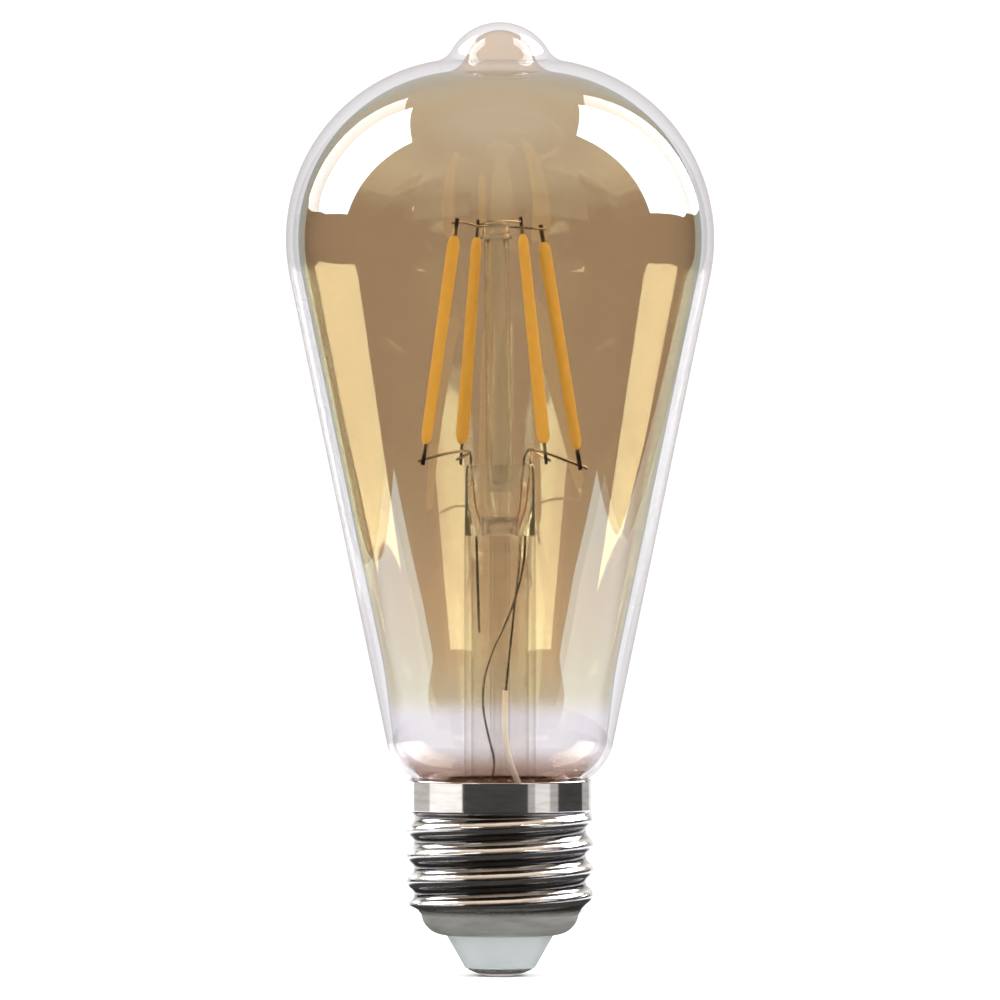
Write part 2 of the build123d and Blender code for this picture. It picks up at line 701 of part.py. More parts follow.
def make_driver():
    """Driver and radio module in the cap, by node name."""
    front = BOARD_Y - BOARD_THICK / 2
    back = BOARD_Y + BOARD_THICK / 2
    board = (BOARD_WIDTH, BOARD_THICK, BOARD_TOP - BOARD_BOTTOM)
    nodes = {}
    nodes["driver_board"] = box_at(board, (-BOARD_WIDTH / 2, front, BOARD_BOTTOM))
    can = Cylinder(CAN_RADIUS, CAN_LENGTH, rotation=(0, 90, 0))
    can = fillet(can.edges(), 0.4)
    nodes["smoothing_capacitor"] = Pos(-3.6, front - CAN_RADIUS - 0.15, PARTS_Z) * can
    upright = Rot(90, 0, 0)
    post = Cylinder(CHOKE_POST, CHOKE_LENGTH)
    drum = Cylinder(CHOKE_RADIUS, CHOKE_LENGTH)
    window = Cylinder(CHOKE_RADIUS + 1.0, WINDING_LENGTH)
    winding = Cylinder(WINDING_RADIUS, WINDING_LENGTH) - post
    choke_place = Pos(5.0, front - CHOKE_LENGTH / 2, PARTS_Z) * upright
    nodes["choke_core"] = choke_place * (drum - ((drum - post) & window))
    nodes["choke_winding"] = choke_place * winding
    resistor = fillet(Cylinder(RESISTOR_RADIUS, RESISTOR_LENGTH).edges(), 0.3)
    resistor_place = Pos(1.9, front - RESISTOR_RADIUS - 0.05, 10.9)
    nodes["fusible_resistor"] = resistor_place * (Rot(0, 90, 0) * resistor)
    nodes["bridge_rectifier"] = box_at(RECTIFIER, (-9.4, back, 13.2))
    nodes["driver_chip"] = box_at(CHIP_PACKAGE, (-3.9, back, 13.0))
    radio_x, radio_z = RADIO_LOW
    radio_y = back + PIN_LENGTH
    radio_face = radio_y + RADIO_BOARD[1]
    nodes["radio_board"] = box_at(RADIO_BOARD, (radio_x, radio_y, radio_z))
    nodes["radio_shield"] = box_at(RADIO_SHIELD, (radio_x + 1.2, radio_face, radio_z + 0.6))
    header = []
    for i in range(PIN_COUNT):
        low = (radio_x + 0.9 + PIN_PITCH * i, back, radio_z + 0.7)
        header.append(box_at((PIN, PIN_LENGTH, PIN), low))
    nodes["radio_header_pins"] = Compound(children=header)
    nodes["radio_antenna"] = antenna_trace(radio_x + 0.9, radio_face)
    inside = LIP_BOTTOM + SHELL_SHEET
    nodes["live_wire"] = wire_along(
        [
            (0, 0, inside + 1.9),
            (0, 0, inside + 2.3),
            (-1.2, front - 0.9, inside + 2.9),
            (-2.6, front - 0.45, BOARD_BOTTOM + 1.0),
        ],
        LIVE_RADIUS,
    )
    nodes["neutral_wire"] = wire_along(
        [
            (-8.9, front - NEUTRAL_RADIUS - TOUCH, 14.4),
            (-9.2, front - 0.6, 17.6),
            (-10.6, front - 1.5, 19.4),
            (-11.3, front - 1.8, 20.6),
        ],
        NEUTRAL_RADIUS,
    )
    return nodes


def antenna_trace(first_x, face_y):
    """Meandering antenna strip on the radio board."""
    trace = None
    for i in range(TRACE_RUNS):
        x = first_x + TRACE_PITCH * i
        pieces = [box_at((TRACE_WIDTH, TRACE_THICK, TRACE_RISE), (x, face_y, TRACE_Z))]
        if i < TRACE_RUNS - 1:
            end = TRACE_Z + (TRACE_RISE - TRACE_WIDTH if i % 2 == 0 else 0)
            across = (TRACE_PITCH + TRACE_WIDTH, TRACE_THICK, TRACE_WIDTH)
            pieces.append(box_at(across, (x, face_y, end)))
        for piece in pieces:
            trace = piece if trace is None else trace + piece
    return trace


def main():
    os.makedirs("parts", exist_ok=True)
    nodes = {}
    nodes["glass_bulb"] = make_envelope()
    places = {name: FilamentPlace(*where) for name, where in FILAMENTS.items()}
    for name, place in places.items():
        coat, strip, chips, tabs = make_filament(place)
        nodes[f"{name}_phosphor"] = coat
        nodes[f"{name}_substrate"] = strip
        nodes[f"{name}_led_chips"] = chips
        nodes[f"{name}_end_tabs"] = tabs
    wires = make_wires(places)
    wires["wire_knots"] = make_knots()
    embedded = ["series_link_wire", "supply_lead_a", "supply_lead_b"]
    embedded += ["dumet_wire_link", "dumet_wire_a", "dumet_wire_b"]
    for name in embedded:
        wires[name] = wires[name] - wires["wire_knots"]
    nodes["lead_sleeve"] = wire_along(LEAD_A_ROUTE[4:9], SLEEVE_RADIUS)
    sleeve_core = wires["driver_lead_a"]
    nodes["lead_sleeve"] = nodes["lead_sleeve"] - sleeve_core
    pillar = leaned(make_pillar())
    exhaust = make_exhaust_tube()
    port = Pos(0, 0, PORT_Z) * Cylinder(PORT_RADIUS, 12, rotation=(90, 0, 0))
    pillar_room = leaned(rod((0, 0, PILLAR_FOOT), (0, 0, PRESS_TOP + 1), PILLAR_RADIUS))
    exhaust_room = rod((0, 0, PRESS_START), (0, 0, EXHAUST_TOP), EXHAUST_RADIUS)
    stem = make_stem() - [pillar_room, exhaust_room, port]
    stem = stem - [wires[n] for n in (*embedded, "wire_knots")]
    bridges = [wires["bridge_wire_1_4"], wires["bridge_wire_2_3"]]
    nodes["stem_flare"] = stem
    nodes["exhaust_tube"] = exhaust
    nodes["glass_pillar"] = pillar
    nodes["pillar_button"] = leaned(make_button()) - bridges
    nodes.update(wires)
    nodes["cap_shell"] = make_cap_shell()
    nodes["cap_insulator"] = make_insulator()
    nodes["centre_contact"] = make_contact()
    nodes["contact_rivet"] = make_rivet()
    nodes["basing_cement"] = make_cement(nodes["glass_bulb"])
    nodes.update(make_driver())
    for name, shape in nodes.items():
        export(shape, name)


main()
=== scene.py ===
import json
import math

import bpy
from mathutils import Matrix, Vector


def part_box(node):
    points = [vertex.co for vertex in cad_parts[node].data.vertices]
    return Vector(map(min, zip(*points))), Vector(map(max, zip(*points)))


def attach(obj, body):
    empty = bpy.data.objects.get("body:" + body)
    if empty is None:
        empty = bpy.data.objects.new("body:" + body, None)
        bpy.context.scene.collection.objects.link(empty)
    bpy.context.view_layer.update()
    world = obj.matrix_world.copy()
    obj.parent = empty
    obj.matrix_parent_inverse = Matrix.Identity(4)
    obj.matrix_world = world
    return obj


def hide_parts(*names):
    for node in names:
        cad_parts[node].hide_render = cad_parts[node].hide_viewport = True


# The look of the LED filament lamp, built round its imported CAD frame. The frame is the CAD one: +Z up
# the lamp's axis, -Y to the front, the centre contact at the origin. The scene is in metres, and the
# lamp's own dimensions are in millimetres until MM or joined() turns them into metres.
# The glass and the screw shell are rebuilt as smooth meshes, and every other piece is a CAD node.

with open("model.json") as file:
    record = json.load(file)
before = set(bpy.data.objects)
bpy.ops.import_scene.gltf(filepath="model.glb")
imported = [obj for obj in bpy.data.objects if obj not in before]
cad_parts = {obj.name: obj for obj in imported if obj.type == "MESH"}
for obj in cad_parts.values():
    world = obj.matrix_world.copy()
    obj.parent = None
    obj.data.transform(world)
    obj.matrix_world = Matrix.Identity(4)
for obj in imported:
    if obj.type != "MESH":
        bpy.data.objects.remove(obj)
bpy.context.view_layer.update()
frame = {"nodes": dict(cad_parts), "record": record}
MM = 0.001


# ---- node graphs ----
class Graph:
    """A material's node tree, with short ways to add nodes and join them."""

    def __init__(self, name):
        self.material = bpy.data.materials.new(name)
        self.material.use_nodes = True
        self.tree = self.material.node_tree
        self.tree.nodes.clear()

    def add(self, kind, inputs=None, output=0, **settings):
        """Adds a node. An input that is a socket is linked, and any other is set."""
        node = self.tree.nodes.new("ShaderNode" + kind)
        for name, value in settings.items():
            setattr(node, name, value)
        for name, value in (inputs or {}).items():
            if isinstance(value, bpy.types.NodeSocket):
                self.tree.links.new(value, node.inputs[name])
            else:
                node.inputs[name].default_value = value
        return node.outputs[output]

    def math(self, operation, *values):
        return self.add("Math", dict(enumerate(values)), operation=operation)

    def place(self):
        """Coordinates in the lamp's frame, in metres."""
        return self.add("TexCoord", output="Object")

    def height(self):
        return self.add("SeparateXYZ", {0: self.place()}, output="Z")

    def noise(self, scale, detail=3.0, stretch=None):
        """Even noise over the piece. Scale is in features per metre."""
        spot = self.place()
        if stretch:
            spot = self.add("Mapping", {"Vector": spot, "Scale": stretch})
        inputs = {"Vector": spot, "Scale": scale, "Detail": detail}
        return self.add("TexNoise", inputs)

    def ramp(self, share, stops):
        """Colour ramp: stops are (place from 0 to 1, colour)."""
        out = self.add("ValToRGB", {"Fac": share})
        ramp = out.node.color_ramp
        while len(ramp.elements) < len(stops):
            ramp.elements.new(0.5)
        for element, (place, colour) in zip(ramp.elements, stops):
            element.position = place
            element.color = (*colour, 1.0)
        return out

    def span(self, value, low, high):
        """Smooth share of the way of a value from low to high, held within 0 and 1."""
        inputs = {"Value": value, "From Min": low, "From Max": high}
        return self.add("MapRange", inputs, interpolation_type="SMOOTHSTEP")

    def share(self, value, low, high):
        """Even share of the way of a value from low to high, held within 0 and 1."""
        return self.add("MapRange", {"Value": value, "From Min": low, "From Max": high})

    def bump(self, height, strength, distance):
        return self.add("Bump", {"Height": height, "Strength": strength, "Distance": distance})

    def surface(self, shader):
        out = self.tree.nodes.new("ShaderNodeOutputMaterial")
        self.tree.links.new(shader, out.inputs["Surface"])
        return self.material


def edge_share(g, power=5.0):
    """Rises from 0 where a face is seen straight on to 1 where it is seen edge on."""
    return g.math("POWER", g.add("LayerWeight", {"Blend": 0.5}, output="Facing"), power)


def sheen(g, straight):
    """Share of light that a smooth face reflects, rising from its straight-on value to 1 at the edge."""
    return g.math("MULTIPLY_ADD", edge_share(g), 1.0 - straight, straight)


def mix_colour(g, share, first, second):
    """Colour that turns from first to second as share goes from 0 to 1."""
    return g.add("Mix", {0: share, 6: first, 7: second}, output=2, data_type="RGBA")


# ---- glass materials ----
GLASS_SHEEN = 0.042                     # what plain glass reflects straight on
COAT_SHEEN = 0.19                       # and what the gold film does
COAT_GLOSS = (0.74, 1.0, 0.93, 1.0)     # the metal film reflects what it doesn't let through
COAT_FADE = (37.0 * MM, 40.8 * MM)      # the film sets in between these heights
COAT_WAVER = 1.2 * MM                   # and its lower edge wavers by this
TIP_CLEAR = (126.0 * MM, 129.0 * MM)    # the film thins out towards the tip
NECK_SEEN_THROUGH_RANGE = (27.0 * MM, 32.5 * MM)
NECK_SEEN_THROUGH_TINTS = [                          # painted brown of the cement and stem flare seen through the neck glass above the collar, with painted shade darkest at the neck's foot
    (0.0, (0.42, 0.32, 0.27)),
    (0.40, (0.66, 0.55, 0.50)),
    (0.9, (0.97, 0.955, 0.965)),
]
COAT_RANGE = (36.0 * MM, 80.0 * MM)
COAT_TINTS = [                          # the film thickens upwards, from straw to amber
    (0.00, (0.96, 0.87, 0.71)),
    (0.10, (0.95, 0.84, 0.66)),
    (0.23, (0.92, 0.77, 0.565)),
    (0.40, (0.885, 0.715, 0.52)),
    (0.66, (0.795, 0.645, 0.465)),
    (0.90, (0.755, 0.605, 0.435)),
]
TIP_TINTS = [(0.3, (0.88, 0.80, 0.70)), (0.7, (0.90, 0.82, 0.72))]


def wall_glass():
    """Outer face of the bulb's wall: clear and thin, so that it reflects but hardly bends light."""
    g = Graph("bulb glass")
    tint = g.ramp(g.noise(30.0, 1.0), [(0.3, (0.925, 0.915, 0.93)), (0.7, (0.94, 0.93, 0.945))])
    clear = g.add("BsdfTransparent", {"Color": tint})
    gloss = g.add("BsdfGlossy", {"Roughness": 0.0})
    mix = {"Fac": sheen(g, GLASS_SHEEN), 1: clear, 2: gloss}
    return g.surface(g.add("MixShader", mix))


def coated_glass():
    """Inner face of the wall, with the gold coating above the neck."""
    g = Graph("gold coating")
    height = g.height()
    waver = g.math("MULTIPLY_ADD", g.noise(60.0, 2.0), COAT_WAVER, height)
    coated = g.span(waver, *COAT_FADE)
    tint = g.ramp(g.share(height, *COAT_RANGE), COAT_TINTS)
    # painted brown of the cement and stem flare seen through the neck glass, with painted shade darkest
    # at the neck's foot
    neck_seen_through = g.ramp(g.share(height, *NECK_SEEN_THROUGH_RANGE), NECK_SEEN_THROUGH_TINTS)
    tip = g.span(height, *TIP_CLEAR)
    tint = mix_colour(g, tip, tint, g.ramp(g.noise(60.0, 2.0), TIP_TINTS))
    colour = mix_colour(g, coated, neck_seen_through, tint)
    clear = g.add("BsdfTransparent", {"Color": colour})
    gloss = g.add("BsdfGlossy", {"Roughness": 0.0})
    film = g.add("BsdfGlossy", {"Color": COAT_GLOSS, "Roughness": 0.02})
    filmed = g.math("MULTIPLY", coated, g.math("SUBTRACT", 1.0, tip))
    straight = g.math("MULTIPLY_ADD", filmed, COAT_SHEEN - GLASS_SHEEN, GLASS_SHEEN)
    kind = g.add("MixShader", {"Fac": filmed, 1: gloss, 2: film})
    face = g.add("MixShader", {"Fac": straight, 1: clear, 2: kind})
    return g.surface(g.add("MixShader", {"Fac": edge_share(g), 1: face, 2: gloss}))


THIN_SHEEN, THIN_EDGE = 0.03, 6.0       # straight-on sheen, and the power of its rise to the edge


def thin_glass():
    """Clear glass of the stem's thin tubes, seen without bending light."""
    g = Graph("thin glass")
    tint = g.ramp(g.noise(90.0, 1.0), [(0.3, (0.985, 0.98, 0.97)), (0.7, (0.995, 0.99, 0.985))])
    clear = g.add("BsdfTransparent", {"Color": tint})
    gloss = g.add("BsdfGlossy", {"Roughness": 0.0})
    face = g.add("MixShader", {"Fac": THIN_SHEEN, 1: clear, 2: gloss})
    return g.surface(g.add("MixShader", {"Fac": edge_share(g, THIN_EDGE), 1: face, 2: gloss}))


MILKY = 0.12                            # share of light that solid glass scatters


def solid_glass():
    """Clear glass of the press, the pillar and its button, which bends light and is a little milky."""
    g = Graph("clear glass")
    waves = g.bump(g.noise(220.0, 2.0), 0.12, 0.0006)
    tint = g.ramp(g.noise(90.0, 1.0), [(0.3, (0.965, 0.975, 0.965)), (0.7, (0.985, 0.99, 0.985))])
    inputs = {"Color": tint, "Roughness": 0.0, "IOR": 1.5, "Normal": waves}
    bending = g.add("BsdfGlass", inputs)
    milky = g.add("BsdfDiffuse", {"Color": (0.92, 0.95, 0.95, 1.0)})
    return g.surface(g.add("MixShader", {"Fac": MILKY, 1: bending, 2: milky}))


# ---- opaque materials ----
MOTTLE_DEPTH = 0.05 * MM


def mottled(name, dark, light, scale, roughness, metallic, bump):
    """Surface whose colour, gloss and height vary a little with noise."""
    g = Graph(name)
    spots = g.noise(scale, 4.0)
    colour = g.ramp(spots, [(0.3, dark), (0.7, light)])
    rough = g.math("MULTIPLY_ADD", spots, roughness * 0.5, roughness * 0.75)
    inputs = {
        "Base Color": colour,
        "Roughness": rough,
        "Metallic": metallic,
        "Normal": g.bump(spots, bump, MOTTLE_DEPTH),
    }
    return g.surface(g.add("BsdfPrincipled", inputs))


LOW_WELDS = (73.6 * MM, 75.0 * MM)      # the tabs are scorched below and above these heights
HIGH_WELDS = (105.4 * MM, 106.6 * MM)


def tab_steel():
    """Filament end tabs: bright plate, scorched dark round the welds at their outer ends."""
    g = Graph("end tabs")
    height = g.height()
    spots = g.noise(900.0, 3.0)
    low = g.math("SUBTRACT", 1.0, g.span(height, *LOW_WELDS))
    scorch = g.math("MAXIMUM", low, g.span(height, *HIGH_WELDS))
    plate = g.ramp(spots, [(0.3, (0.45, 0.40, 0.33)), (0.7, (0.66, 0.60, 0.50))])
    burnt = g.ramp(spots, [(0.3, (0.05, 0.035, 0.03)), (0.7, (0.16, 0.12, 0.09))])
    inputs = {
        "Base Color": mix_colour(g, scorch, plate, burnt),
        "Metallic": 1.0,
        "Roughness": g.math("MULTIPLY_ADD", scorch, 0.3, 0.28),
        "Normal": g.bump(spots, 0.3, 0.06 * MM),
    }
    return g.surface(g.add("BsdfPrincipled", inputs))


THREAD_ROOT_SHADE = (12.35 * MM, 12.9 * MM)  # painted shade darkens the thread at its root, and it is bright at its crest
LIP_GLOSS = (8.7 * MM, 9.8 * MM)        # the satin of the lip gives way to gloss
BAND_SMOOTH = (23.3 * MM, 23.9 * MM)    # and the grain of the thread to the smooth collar


def nickel_plate():
    """Rolled nickel-plated shell: bright collar, a thread with painted shade at its root, and a satin
    lip.
    """
    g = Graph("nickel plate")
    height = g.height()
    grain = g.noise(1500.0, 4.0)
    streaks = g.noise(260.0, 3.0, (1.0, 1.0, 5.0))
    satin = g.math("SUBTRACT", 1.0, g.span(height, *LIP_GLOSS))
    band = g.math("SUBTRACT", 1.0, g.span(height, *BAND_SMOOTH))
    rough = g.math("MULTIPLY_ADD", satin, 0.26, 0.10)
    rough = g.math("MULTIPLY_ADD", g.math("MULTIPLY", grain, band), 0.10, rough)
    tone = g.ramp(streaks, [(0.25, (0.66, 0.64, 0.62)), (0.6, (0.82, 0.81, 0.80))])
    out = g.add("VectorMath", {0: g.place(), 1: (1.0, 1.0, 0.0)}, operation="MULTIPLY")
    radius = g.add("VectorMath", {0: out}, output="Value", operation="LENGTH")
    # painted shade: a darker tone in the thread's root
    root = g.ramp(streaks, [(0.25, (0.20, 0.18, 0.165)), (0.6, (0.30, 0.29, 0.28))])
    tone = mix_colour(g, g.span(radius, *THREAD_ROOT_SHADE), root, tone)
    grey = g.ramp(streaks, [(0.25, (0.33, 0.32, 0.30)), (0.6, (0.42, 0.41, 0.385))])
    scuffs = g.math("MULTIPLY", g.math("ADD", grain, streaks), band)
    inputs = {
        "Base Color": mix_colour(g, satin, tone, grey),
        "Metallic": g.math("MULTIPLY_ADD", satin, -0.40, 1.0),
        "Roughness": rough,
        "Normal": g.bump(scuffs, 0.25, 0.08 * MM),
    }
    return g.surface(g.add("BsdfPrincipled", inputs))


# ---- meshes ----
ROUND = 240                             # faces round a full turn
ON_AXIS = 1e-7                          # radii under this, in metres, count as none
SAME_POINT = 1e-6                       # points nearer than this, in millimetres, count as one


def mesh_piece(name, corners, faces, materials, node, second_from=None):
    """Adds a smooth closed mesh that stands for a CAD node, in metres. Faces from second_from on
    have the second material."""
    mesh = bpy.data.meshes.new(name)
    mesh.from_pydata([tuple(c) for c in corners], [], faces)
    for made in materials:
        mesh.materials.append(made)
    mesh.polygons.foreach_set("use_smooth", [True] * len(mesh.polygons))
    if second_from is not None:
        for polygon in mesh.polygons:
            polygon.material_index = 1 if polygon.index >= second_from else 0
    mesh.update()
    piece = bpy.data.objects.new(name, mesh)
    bpy.context.scene.collection.objects.link(piece)
    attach(piece, "root")
    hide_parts(node)
    return piece


def turned(profile, count=ROUND, lean=None):
    """Corners and faces of a closed solid of revolution. The profile is (radius, height) in metres,
    and a point on the axis is shared. Faces come in rows, in the profile's order."""
    corners, rings = [], []
    for radius, height in profile:
        start = len(corners)
        if radius < ON_AXIS:
            corners.append(Vector((0, 0, height)))
            rings.append([start] * count)
            continue
        for i in range(count):
            turn = 2 * math.pi * i / count
            corners.append(Vector((radius * math.cos(turn), radius * math.sin(turn), height)))
        rings.append([start + i for i in range(count)])
    faces, rows = [], []
    for a, b in zip(rings, rings[1:] + rings[:1]):
        rows.append(len(faces))
        for i in range(count):
            k = (i + 1) % count
            face = []
            for corner in (a[i], a[k], b[k], b[i]):
                if corner not in face:
                    face.append(corner)
            if len(face) > 2:
                faces.append(tuple(face))
    if lean:
        corners = [lean(c) for c in corners]
    return corners, faces, rows


def arc(centre, radius, start, end, count=24):
    """Points along a circle in the (radius, height) plane, the short way between two directions."""
    a = math.atan2(start[1] - centre[1], start[0] - centre[0])
    b = math.atan2(end[1] - centre[1], end[0] - centre[0])
    turn = (b - a + math.pi) % (2 * math.pi) - math.pi
    angles = [a + turn * i / count for i in range(count + 1)]
    return [(centre[0] + radius * math.cos(t), centre[1] + radius * math.sin(t)) for t in angles]


def line(start, end, count=2):
    """Points along a straight run."""
    steps = [i / (count - 1) for i in range(count)]
    return [tuple(a + (b - a) * s for a, b in zip(start, end)) for s in steps]


def joined(*runs):
    """One profile from runs that start where the last one ended, in millimetres, as metres."""
    points = []
    for run in runs:
        for p in run:
            if not points or math.dist(p, points[-1]) > SAME_POINT:
                points.append(p)
    return [(max(0.0, r) * MM, z * MM) for r, z in points]


# ---- bulb ----
GLASS_WALL = 0.9
DOME_RADIUS, DOME_OFFSET, DOME_Z = 25.6, 4.7, 104.3     # the arc's centre lies off the axis
CONE_ANGLE = math.radians(11.75)
TIP_RADIUS, TIP_FILLET = 7.9, 3.2
SHOULDER_RADIUS, SHOULDER_Z = 8.2, 33.2
NECK_RADIUS, NECK_FILLET = 11.7, 1.5
DRAWN_WALL = 1.75                       # where the body's inner face seems to lie
WALL_FOOT, WALL_EASE = 31.0, 14.0       # it eases in from the true wall over this height
HOLLOW_TOP, HOLLOW_RADIUS, HOLLOW_FILLET = 133.9, 5.0, 3.4
DOME_GAP = 1.0                          # step down from the inner dome to the moved outer face


def ease(share):
    """Smooth step from 0 to 1."""
    share = min(1.0, max(0.0, share))
    return share * share * (3 - 2 * share)


def toward(start, end, length):
    """Point at a length from start on the way to end."""
    gap = math.dist(start, end)
    return tuple(a + (b - a) * length / gap for a, b in zip(start, end))


def circles_meet(a, radius_a, b, radius_b):
    """The outer crossing of two circles in the (radius, height) plane."""
    gap = math.dist(a, b)
    along = (radius_a**2 - radius_b**2 + gap**2) / (2 * gap)
    across = math.sqrt(radius_a**2 - along**2)
    ahead = ((b[0] - a[0]) / gap, (b[1] - a[1]) / gap)
    return (a[0] + ahead[0] * along - ahead[1] * across, a[1] + ahead[1] * along + ahead[0] * across)


def bulb_profile(top, foot):
    """Profile of the bulb's outer face from the tip to the neck's end, in metres."""
    tip = (0.0, top - TIP_RADIUS)
    dome = (DOME_OFFSET, DOME_Z)
    fillet = circles_meet(tip, TIP_RADIUS + TIP_FILLET, dome, DOME_RADIUS + TIP_FILLET)
    out = (math.cos(CONE_ANGLE), -math.sin(CONE_ANGLE))
    cone_start = tuple(d + o * DOME_RADIUS for d, o in zip(dome, out))
    cone_end = (cone_start[0] - (cone_start[1] - SHOULDER_Z) * math.tan(CONE_ANGLE), SHOULDER_Z)
    shoulder = tuple(c - o * SHOULDER_RADIUS for c, o in zip(cone_end, out))
    neck_x = NECK_RADIUS + NECK_FILLET
    reach = SHOULDER_RADIUS + NECK_FILLET
    neck = (neck_x, shoulder[1] - math.sqrt(reach**2 - (neck_x - shoulder[0]) ** 2))
    on_fillet = toward(tip, fillet, TIP_RADIUS)
    on_dome = toward(dome, fillet, DOME_RADIUS)
    on_neck = toward(shoulder, neck, SHOULDER_RADIUS)
    runs = [
        arc(tip, TIP_RADIUS, (0.0, top), on_fillet, 40),
        arc(fillet, TIP_FILLET, on_fillet, on_dome, 16),
        arc(dome, DOME_RADIUS, on_dome, cone_start, 90),
        line(cone_start, cone_end, 60),
        arc(shoulder, SHOULDER_RADIUS, cone_end, on_neck, 24),
        arc(neck, NECK_FILLET, on_neck, (NECK_RADIUS, neck[1]), 12),
        line((NECK_RADIUS, neck[1]), (NECK_RADIUS, foot), 8),
    ]
    return joined(*runs)


def drawn_wall(height):
    """Depth at which the wall's bending of light shows its inner face."""
    return GLASS_WALL + (DRAWN_WALL - GLASS_WALL) * ease((height - WALL_FOOT) / WALL_EASE)


def inner_profile(outer):
    """Profile of the inner face: its own hollow and dome, then the outer face moved inward."""
    tip = (0.0, HOLLOW_TOP - HOLLOW_RADIUS)
    dome = (DOME_OFFSET, DOME_Z)
    dome_r = DOME_RADIUS - DRAWN_WALL
    fillet = circles_meet(tip, HOLLOW_RADIUS + HOLLOW_FILLET, dome, dome_r + HOLLOW_FILLET)
    on_fillet = toward(tip, fillet, HOLLOW_RADIUS)
    on_dome = toward(dome, fillet, dome_r)
    out = (math.cos(CONE_ANGLE), -math.sin(CONE_ANGLE))
    cone_start = tuple(d + o * dome_r for d, o in zip(dome, out))
    inner = joined(
        arc(tip, HOLLOW_RADIUS, (0.0, HOLLOW_TOP), on_fillet, 40),
        arc(fillet, HOLLOW_FILLET, on_fillet, on_dome, 16),
        arc(dome, dome_r, on_dome, cone_start, 90),
    )
    below_dome = (cone_start[1] - DOME_GAP) * MM
    for before, here, after in zip(outer, outer[1:], outer[2:]):
        if here[1] < below_dome:
            along = Vector((after[0] - before[0], after[1] - before[1])).normalized()
            depth = drawn_wall(here[1] / MM) * MM
            inner.append((here[0] + along.y * depth, here[1] - along.x * depth))
    inner.append((inner[-1][0], outer[-1][1]))
    return inner


def make_bulb():
    """Blown bulb as one closed wall, with the gold film on its inner face."""
    low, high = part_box("glass_bulb")
    top, foot = high.z / MM, low.z / MM
    outer = bulb_profile(top, foot)
    inner = inner_profile(outer)
    corners, faces, rows = turned(outer + inner[::-1])
    second = rows[len(outer)]
    materials = [wall_glass(), coated_glass()]
    mesh_piece("bulb", corners, faces, materials, "glass_bulb", second)


# ---- stem ----
STEM_RADIUS, STEM_WALL, FLARE_RADIUS, FLARE_TOP = 5.05, 1.0, 6.5, 29.5
PRESS_START = 60.5                      # the tube is pressed flat above this height
PRESS_SOLID = 2.0                       # and drawn as solid glass from this much higher
# Ovals through the press: height, half width, half depth and power. The outer heights count from
# PRESS_START, and the last two from the press's top. The hollow's heights count from PRESS_START.
STEM_SECTIONS = [
    (0.0, 5.05, 5.05, 2.0),
    (1.3, 5.05, 4.95, 2.0),
    (4.0, 5.0, 3.4, 2.2),
    (6.5, 4.95, 1.9, 2.6),
    (-1.5, 4.9, 1.6, 3.0),
    (0.0, 4.7, 1.45, 3.0),
]
HOLLOW_SECTIONS = [
    (0.0, 4.05, 4.05, 2.0),
    (1.3, 4.0, 3.9, 2.0),
    (3.6, 3.8, 2.3, 2.0),
    (5.4, 3.15, 0.9, 2.0),
]
HOLLOW_CROWN = 0.25                     # rise of the hollow's rounded end
HOLLOW_SHARES = (0.7, 0.35, 0.02)       # rings that close the hollow, as shares of its last oval
CROWN_SHARES = (0.02, 0.5, 0.9)         # and rings over the press's flat top
ROUND_POWER = 2.0                       # power of a plain circle or ellipse


def smooth_between(stations, count):
    """Smooth curve through rows of numbers, the first of which is the height."""
    rows = []
    spans = len(stations) - 1
    for k in range(count + 1):
        place = k / count * spans
        i = min(int(place), spans - 1)
        t = place - i
        p0, p1 = stations[max(i - 1, 0)], stations[i]
        p2, p3 = stations[i + 1], stations[min(i + 2, spans)]
        row = []
        for a, b, c, d in zip(p0, p1, p2, p3):
            bend = (2 * b, c - a, 2 * a - 5 * b + 4 * c - d, 3 * b - a - 3 * c + d)
            row.append(0.5 * (bend[0] + bend[1] * t + bend[2] * t**2 + bend[3] * t**3))
        rows.append(row)
    return rows


def oval_ring(height, half_x, half_y, power, count=120):
    """Corners round a superellipse at a height, in metres."""
    ring = []
    for i in range(count):
        turn = 2 * math.pi * i / count
        c, s = math.cos(turn), math.sin(turn)
        stretch = (abs(c) ** power + abs(s) ** power) ** (-1 / power)
        ring.append(Vector((half_x * stretch * c, half_y * stretch * s, height)) * MM)
    return ring


def closed_tube(rings):
    """Corners and faces of a body through rings, the last of which joins the first."""
    count = len(rings[0])
    corners = [c for ring in rings for c in ring]
    faces = []
    for a in range(len(rings)):
        b = (a + 1) % len(rings)
        for i in range(count):
            k = (i + 1) % count
            faces.append((a * count + i, a * count + k, b * count + k, b * count + i))
    return corners, faces


